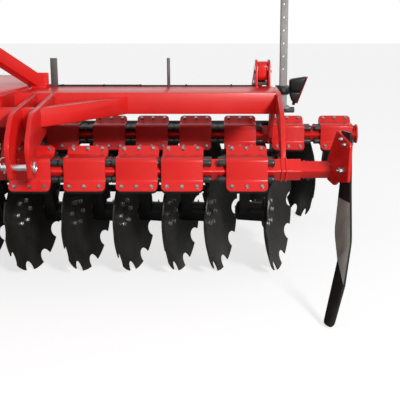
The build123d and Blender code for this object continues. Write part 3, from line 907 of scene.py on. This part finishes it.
def makeStand():
    half = stand["side"] / 2 * mm
    x, y = stand["x"] * mm, at(0, stand["y"], 0).y
    low, high = (stand["foot"] + stand["footPlate"]) * mm, stand["top"] * mm
    leg = slab("standLeg", (x - half, y - half, low), (x + half, y + half, high))
    edgesOf(leg, lambda a, b: abs(a.z - b.z) > 0.1)
    bpy.ops.mesh.bevel(offset=0.005, segments=3, affect="EDGES")
    finishEdit()
    facesOf(leg, lambda c, n: n.z > 0.9)
    bpy.ops.mesh.inset(thickness=stand["wall"] * mm)
    bpy.ops.mesh.extrude_region_move(TRANSFORM_OT_translate={"value": (0, 0, -stand["hollow"] * mm)})
    finishEdit()
    cuts = []
    for i in range(stand["holes"]):
        z = (stand["firstHole"] + i * stand["holePitch"]) * mm
        hole = cylinder(f"standHole{i}", stand["holeRadius"] * mm, 0.1, (0, 0, 0), 16)
        hole.data.transform(Matrix.Translation((x, y, z)) @ Matrix.Rotation(math.pi / 2, 4, "X"))
        cuts.append(hole)
    cutBy(leg, joined("standHoles", cuts))
    wide, reach = stand["footHalf"] * mm, stand["footReach"] * mm
    foot = slab("standFoot", (x - half, y - wide, stand["foot"] * mm), (x + reach, y + wide, low))
    edgesOf(foot, lambda a, b: abs(a.z - b.z) > 0.01)
    bpy.ops.mesh.bevel(offset=0.008, segments=3, affect="EDGES")
    finishEdit()
    bevelled(foot, 0.001, 1)
    return joined("stand_right_finished", [leg, foot])


def roundPart(name, key, sides):
    # one of the stand's round parts
    start, end, radius = stand[key]
    return bar(name, at(*start), at(*end), radius * mm, sides)


def dressStands():
    right = smooth(makeStand(), 30)
    left = mirrorX(right)
    for side, piece in (("right", right), ("left", left)):
        piece.name = f"stand_{side}_finished"
        done(piece, bodyOf[f"stand_{side}"], greyZinc)
        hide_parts(f"stand_{side}")
    # the sleeve on the peg of the end plate, and the pin through the collar with its knob
    sleeve = roundPart("pegSleeve", "sleeve", 24)
    facesOf(sleeve, lambda c, n: n.x > 0.9)
    bpy.ops.mesh.bevel(offset=0.006, segments=3, affect="EDGES")
    finishEdit()
    pin = smooth(roundPart("collar_pin_right", "pin", 16))
    knob = bevelled(roundPart("collarKnob", "knob", 20), 0.003, 2)
    grips = smooth(joined("stand_grips_right", [sleeve, knob]))
    donePair(grips, "root", rubberGrey)
    donePair(pin, "root", boltZinc)


dressStands()
print("stands done")


# Lamps: a two-part shell, lenses behind and at the edge, a gland below

lamp = {
    "left": 1585.5,
    "front": 730.0,
    "back": 790.0,
    "armFront": 745.0,
    "armBack": 775.0,
    "lens": 5.0,
    "upper": ((4, 829), (4, 890), (96, 904), (66, 826)),
    "lower": ((6, 808), (8, 827), (65, 824), (43, 764), (19, 774)),
    "neck": ((12, 815), (12, 840), (62, 840), (60, 815)),
    "arm": ((0, 815), (0, 850), (14, 850), (14, 815)),
    "edge": ((92, 900), (100, 904), (47, 763), (41, 768)),
    "rear": ((12, 836), (12, 882), (84, 893), (62, 834)),
    "amber": ((16, 808), (16, 820), (56, 818), (42, 778), (24, 784)),
    "glandTop": (30, 752, 775),
    "glandEnd": (26, 752, 757),
    "glandRadius": 8.0,
}


def lampPart(name, key, near, far):
    # a plate from one of the lamp's outlines, sideways from its left edge and up from the floor
    corners = [at(lamp["left"] + x, near, z) for x, z in lamp[key]]
    return plateOf(name, corners, (0, (far - near) * mm, 0))


def dressLamps():
    left, near, far = lamp["left"], lamp["front"], lamp["back"]
    upper = bevelled(lampPart("lampUpper", "upper", near, far), 0.012, 4, 20)
    lower = bevelled(lampPart("lampLower", "lower", near + 6, far), 0.009, 4, 20)
    neck = lampPart("lampNeck", "neck", near + 14, far - 4)
    arm = bevelled(lampPart("lampArm", "arm", lamp["armFront"], lamp["armBack"]), 0.002, 2)
    top, end = (at(left + x, y, z) for x, y, z in (lamp["glandTop"], lamp["glandEnd"]))
    gland = bevelled(bar("lampGland", top, end, lamp["glandRadius"] * mm, 16), 0.002, 1)
    shell = smooth(joined("lamp_shell_right", [upper, lower, neck, arm, gland]))
    edge = bevelled(lampPart("lampEdge", "edge", near + 16, far - 8), 0.002, 2)
    rear = bevelled(lampPart("lampRear", "rear", far, far + lamp["lens"]), 0.002, 2)
    red = smooth(joined("lamp_red_right", [edge, rear]))
    amber = smooth(bevelled(lampPart("lamp_amber_right", "amber", far, far + lamp["lens"]), 0.002, 2))
    donePair(shell, "root", blackPlastic)
    donePair(red, "root", lampRed)
    donePair(amber, "root", lampAmber)
    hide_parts("lamps")


dressLamps()
print("lamps done")


# Conduit: ribbed near the headstock, a thin cable beyond

conduit = {
    "inner": 275.0,
    "ribbedTo": 827.0,
    "outer": 1413.0,
    "back": 719.0,  # 19 mm ahead of the solid's
    "height": 857.0,
    "radius": 9.0,
    "pitch": 8.0,
    "ribWidth": 4.8,
    "coreRadius": 7.5,
    "cable": 4.5,
    "cableForward": 4.0,
    "cableUp": 2.0,
    "clips": (430, 640, 827, 1060, 1290),
}


def dressConduit():
    inner, ribbedTo, outer = conduit["inner"], conduit["ribbedTo"], conduit["outer"]
    back, height, pitch = conduit["back"], conduit["height"], conduit["pitch"]
    rib = cylinder("rib", conduit["radius"] * mm, conduit["ribWidth"] * mm, (0, 0, 0), 14)
    facesOf(rib, lambda c, n: abs(n.z) > 0.9)
    bpy.ops.mesh.bevel(offset=0.001, segments=1, affect="EDGES")
    finishEdit()
    arrayed(rib, int((ribbedTo - inner) / pitch), (0, 0, pitch * mm))
    place = Matrix.Translation(at(inner + 3, back, height))
    rib.data.transform(place @ Matrix.Rotation(math.pi / 2, 4, "Y"))
    start, end = at(inner, back, height), at(ribbedTo, back, height)
    core = bar("conduitCore", start, end, conduit["coreRadius"] * mm, 14)
    y, z = back - conduit["cableForward"], height + conduit["cableUp"]
    cable = bar("cable", at(ribbedTo, y, z), at(outer, y, z), conduit["cable"] * mm, 12)
    clips = []
    for x in conduit["clips"]:
        clip = slab("clip", at(x - 4, back - 14, height - 1), at(x + 4, back + 10, height + 10))
        clips.append(bevelled(clip, 0.0015, 1))
    run = smooth(joined("conduit_right", [rib, core, cable, *clips]))
    donePair(run, "root", blackPlastic)
    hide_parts("lamp_conduit")


dressConduit()
print("conduit done")


# Hitch pins with a chamfered end, a broad head and a linchpin

hitch = {
    "half": 412.5,
    "gap": 63.0,
    "plate": 20.0,
    "pinY": -165.0,
    "pinZ": 598.0,
    "pinRadius": 14.0,
    "head": 26.0,
    "headHeight": 12.0,
    "spare": 30.0,
    "washerRadius": 24.0,
    "washerHeight": 3.5,
    "linchPlace": 16.0,
    "linchRing": 21.0,
}


def makeLinch(spot, ring):
    # a sprung ring on a short pin
    deselect()
    bpy.ops.mesh.primitive_torus_add(major_segments=28, minor_segments=8, major_radius=ring,
                                     minor_radius=0.002)
    loop = named("linch")
    hung = Matrix.Translation(spot) @ Matrix.Rotation(math.radians(80), 4, "X")
    loop.data.transform(hung @ Matrix.Translation((0, ring, 0)))
    pin = bar("linchPin", spot + Vector((0, 0, -0.026)), spot + Vector((0, 0, 0.020)), 0.0038, 12)
    return [loop, bevelled(pin, 0.001, 1)]


def dressHitch():
    outer = hitch["half"] + hitch["gap"] / 2 + hitch["plate"]
    inner = hitch["half"] - hitch["gap"] / 2 - hitch["plate"]
    y, z = hitch["pinY"], hitch["pinZ"]
    shaft = bar("pinShaft", at(inner - hitch["spare"], y, z), at(outer, y, z), hitch["pinRadius"] * mm, 32)
    bevelled(shaft, 0.003, 2)
    head = bar("pinHead", at(outer, y, z), at(outer + hitch["headHeight"], y, z), hitch["head"] * mm, 32)
    facesOf(head, lambda c, n: n.x > 0.9)
    bpy.ops.mesh.inset(thickness=0.010)
    bpy.ops.mesh.extrude_region_move(TRANSFORM_OT_translate={"value": (-0.004, 0, 0)})
    finishEdit()
    bevelled(head, 0.0025, 2)
    start, radius = at(inner - hitch["washerHeight"], y, z), hitch["washerRadius"] * mm
    washer = bar("pinWasher", start, at(inner, y, z), radius, 28)
    linch = makeLinch(at(inner - hitch["linchPlace"], y, z), hitch["linchRing"] * mm)
    right = smooth(joined("hitch_pin_right", [shaft, head, washer, *linch]))
    donePair(right, "root", zincBright)
    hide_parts("hitch_pins")


dressHitch()
print("hitch done")


# Weld beads along the joints of plates and tubes

weld = {
    "size": 4.5,
    "pitch": 5.5,
    "beamFront": 340.0,  # 19 mm ahead of the solid's face
    "beamBack": 710.0,  # 19 mm ahead of the solid's face
    "beamLow": 757.0,
    "beamHigh": 857.0,
    "endPlate": (1500.0, 1520.0),
    "rows": (0, 1050),  # the rear one lies 38 mm ahead of the solids' rear row
    "rowHeight": 559.0,
    "toolCorner": 49.5,
    "hitchPlates": (380.5, 361.0, 444.0, 464.0),
    "spine": (275.0, 263.0),
    "mast": (27.5, 47.5),
    "mastFront": 62.0,
    "mastBack": 418.0,
    "mastFoot": 869.0,
    "bracket": 1711.0,
    "bracketLean": 9.0,
    "sliderHalf": 26.5,
}


def weldRuns(name, runs, body):
    size, pitch = weld["size"] * mm, weld["pitch"] * mm
    beads = []
    for start, end in runs:
        start, end = at(*start), at(*end)
        deselect()
        bpy.ops.mesh.primitive_uv_sphere_add(segments=8, ring_count=5, radius=size)
        bead = named("bead")
        bead.data.transform(Matrix.Scale(0.8, 4, (0, 0, 1)))
        arrayed(bead, max(int((end - start).length / pitch), 1), (0, 0, pitch))
        bead.data.transform(facing(start, end - start))
        beads.append(bead)
    piece = smooth(joined(name, beads), 60)
    return done(piece, body, weldRed)


def around(corners):
    # the runs round a closed outline
    return list(zip(corners, corners[1:] + corners[:1]))


def weldFrame():
    ahead, back, low, high = weld["beamFront"], weld["beamBack"], weld["beamLow"], weld["beamHigh"]
    height, corner = weld["rowHeight"], weld["toolCorner"]
    half, lean = weld["sliderHalf"], weld["bracketLean"]
    runs = []
    for side in (1, -1):
        x = weld["endPlate"][0] * side
        runs += [((x, ahead, low), (x, ahead, high)), ((x, back, low), (x, back, high))]
        runs += [((x, ahead, low), (x, back, low))]
        for y in weld["rows"]:
            for x in weld["endPlate"]:
                steps = ((corner, 0), (0, corner), (-corner, 0), (0, -corner))
                runs += around([(x * side, y + a, height + b) for a, b in steps])
        for x in weld["hitchPlates"]:
            runs += [((x * side, ahead, low), (x * side, ahead, high))]
        for x in weld["spine"]:
            for y in (ahead, back):
                runs += [((x * side, y, low), (x * side, y, high))]
        x = weld["spine"][0] * side
        runs += [((x, ahead, high), (x, back, high))]
        for x in weld["mast"]:
            foot = weld["mastFoot"]
            runs += [((x * side, weld["mastFront"], foot), (x * side, weld["mastBack"], foot))]
    weldRuns("frame_welds", runs, "root")
    for name, sign, row in (("right", 1, weld["rows"][0]), ("left", -1, weld["rows"][1])):
        x, behind, before = weld["bracket"] * sign, row + half, row - half
        ring = [(x - lean * sign, behind, height + half), (x, before, height + half),
                (x, before, height - half), (x - lean * sign, behind, height - half)]
        weldRuns(f"deflector_weld_{name}", around(ring), bodyOf[f"deflector_slider_{name}"])


weldFrame()
print("welds done")


# Roller: flanged bearings on the side plates

rollerEnds = {
    "plateX": 1637.0,
    "axleY": 2130.0,
    "axleZ": 250.0,
    "flange": 10.0,
    "flangeHalf": 48.0,
    "dome": 20.0,
    "domeRadius": 34.0,
    "boltReach": 36.0,
    "boltAcross": 0.017,
    "boltHeight": 0.010,
}


def dressRoller():
    x, y, z = rollerEnds["plateX"], rollerEnds["axleY"], rollerEnds["axleZ"]
    half, face = rollerEnds["flangeHalf"], x + rollerEnds["flange"]
    body = bodyOf["roller_frame"]
    flange = slab("bearingFlange", at(x, y - half, z - half), at(face, y + half, z + half))
    edgesOf(flange, lambda a, b: abs(a.x - b.x) > 0.005)
    bpy.ops.mesh.bevel(offset=0.016, segments=4, affect="EDGES")
    finishEdit()
    facesOf(flange, lambda c, n: n.x > 0.9)
    bpy.ops.mesh.inset(thickness=0.012)
    bpy.ops.mesh.extrude_region_move(TRANSFORM_OT_translate={"value": (0.003, 0, 0)})
    finishEdit()
    bevelled(flange, 0.0015, 2)
    end, radius = at(face + rollerEnds["dome"], y, z), rollerEnds["domeRadius"] * mm
    dome = bar("bearingDome", at(face, y, z), end, radius, 32)
    facesOf(dome, lambda c, n: n.x > 0.9)
    bpy.ops.mesh.bevel(offset=0.008, segments=3, affect="EDGES")
    finishEdit()
    right = smooth(joined("roller_bearing_right", [flange, dome]))
    bolts = []
    reach = rollerEnds["boltReach"]
    for a in (-reach, reach):
        for b in (-reach, reach):
            bolt = makeBolt("flangeBolt", rollerEnds["boltAcross"], rollerEnds["boltHeight"], washerHeight)
            bolt.data.transform(facing(at(face, y + a, z + b), (1, 0, 0), a + b / 3))
            bolts.append(bolt)
    screws = smooth(joined("roller_bolts_right", bolts))
    donePair(right, body, armPaint)
    donePair(screws, body, boltZinc)


dressRoller()
print("roller done")


# Floor, light and camera

view = {
    "camera": (1248, -3498.5, 1220.6),
    "lightTarget": (1.0, -0.5, 0.5),
    "keyTurn": 27,
    "keyHeight": 21,
    "keyDistance": 8.5,
    "keySize": 1.2,
    "keyPower": 500,
    "fillSpot": (-5.0, -4.0, 4.0),
    "fillSize": 4.0,
    "fillPower": 16,
    "floorLift": 0.72,
    "worldLight": 0.22,
    "pitch": 12.83,
    "lens": 73.83,
    "shift": -0.0575,
}


def plainMaterial(name, color, rough):
    material = bpy.data.materials.new(name)
    material.use_nodes = True
    shader = material.node_tree.nodes["Principled BSDF"]
    shader.inputs["Base Color"].default_value = color
    shader.inputs["Roughness"].default_value = rough
    return material


def buildStage():
    deselect()
    bpy.ops.mesh.primitive_plane_add(size=60, location=(0, 0, 0))
    floor = named("floor")
    pale = plainMaterial("paleFloor", (0.45, 0.45, 0.45, 1), 0.9)
    shader = pale.node_tree.nodes["Principled BSDF"]
    seen = pale.node_tree.nodes.new("ShaderNodeLightPath")
    lift = addNode(pale.node_tree, "ShaderNodeMath", operation="MULTIPLY")
    lift.inputs[1].default_value = view["floorLift"]
    pale.node_tree.links.new(seen.outputs["Is Camera Ray"], lift.inputs[0])
    pale.node_tree.links.new(lift.outputs[0], shader.inputs["Emission Strength"])
    shader.inputs["Emission Color"].default_value = (1, 1, 1, 1)
    floor.data.materials.append(pale)
    world = bpy.data.worlds.new("studio")
    bpy.context.scene.world = world
    world.use_nodes = True
    tree = world.node_tree
    light = tree.nodes["Background"]
    light.inputs["Color"].default_value = (1, 1, 1, 1)
    light.inputs["Strength"].default_value = view["worldLight"]
    shown = addNode(tree, "ShaderNodeBackground", Color=(1, 1, 1, 1), Strength=1.0)
    ray = tree.nodes.new("ShaderNodeLightPath")
    either = addNode(tree, "ShaderNodeMath", operation="MAXIMUM")
    tree.links.new(ray.outputs["Is Camera Ray"], either.inputs[0])
    tree.links.new(ray.outputs["Is Glossy Ray"], either.inputs[1])
    mixed = tree.nodes.new("ShaderNodeMixShader")
    tree.links.new(either.outputs[0], mixed.inputs[0])
    tree.links.new(light.outputs[0], mixed.inputs[1])
    tree.links.new(shown.outputs[0], mixed.inputs[2])
    tree.links.new(mixed.outputs[0], tree.nodes["World Output"].inputs["Surface"])
    turn, height = math.radians(view["keyTurn"]), math.radians(view["keyHeight"])
    flat = math.cos(height)
    ahead = Vector((math.sin(turn) * flat, -math.cos(turn) * flat, math.sin(height)))
    target = Vector(view["lightTarget"])
    lights = (
        ("keyLight", target + ahead * view["keyDistance"], view["keySize"], view["keyPower"]),
        ("fillLight", Vector(view["fillSpot"]), view["fillSize"], view["fillPower"]),
    )
    for name, spot, size, power in lights:
        emitter = bpy.data.lights.new(name, "AREA")
        emitter.size = size
        emitter.energy = power
        holder = bpy.data.objects.new(name, emitter)
        holder.location = spot
        holder.rotation_euler = (target - spot).to_track_quat("-Z", "Y").to_euler()
        bpy.context.scene.collection.objects.link(holder)


def buildCamera():
    lens = bpy.data.cameras.new("camera")
    lens.lens = view["lens"]
    lens.sensor_width = 36
    lens.shift_x = view["shift"]
    lens.clip_end = 100
    holder = bpy.data.objects.new("camera", lens)
    holder.location = at(*view["camera"])
    holder.rotation_euler = (math.radians(90 - view["pitch"]), 0, 0)
    bpy.context.scene.collection.objects.link(holder)
    bpy.context.scene.camera = holder


buildStage()
buildCamera()
bpy.context.scene.view_settings.view_transform = "Standard"
print("scene done")
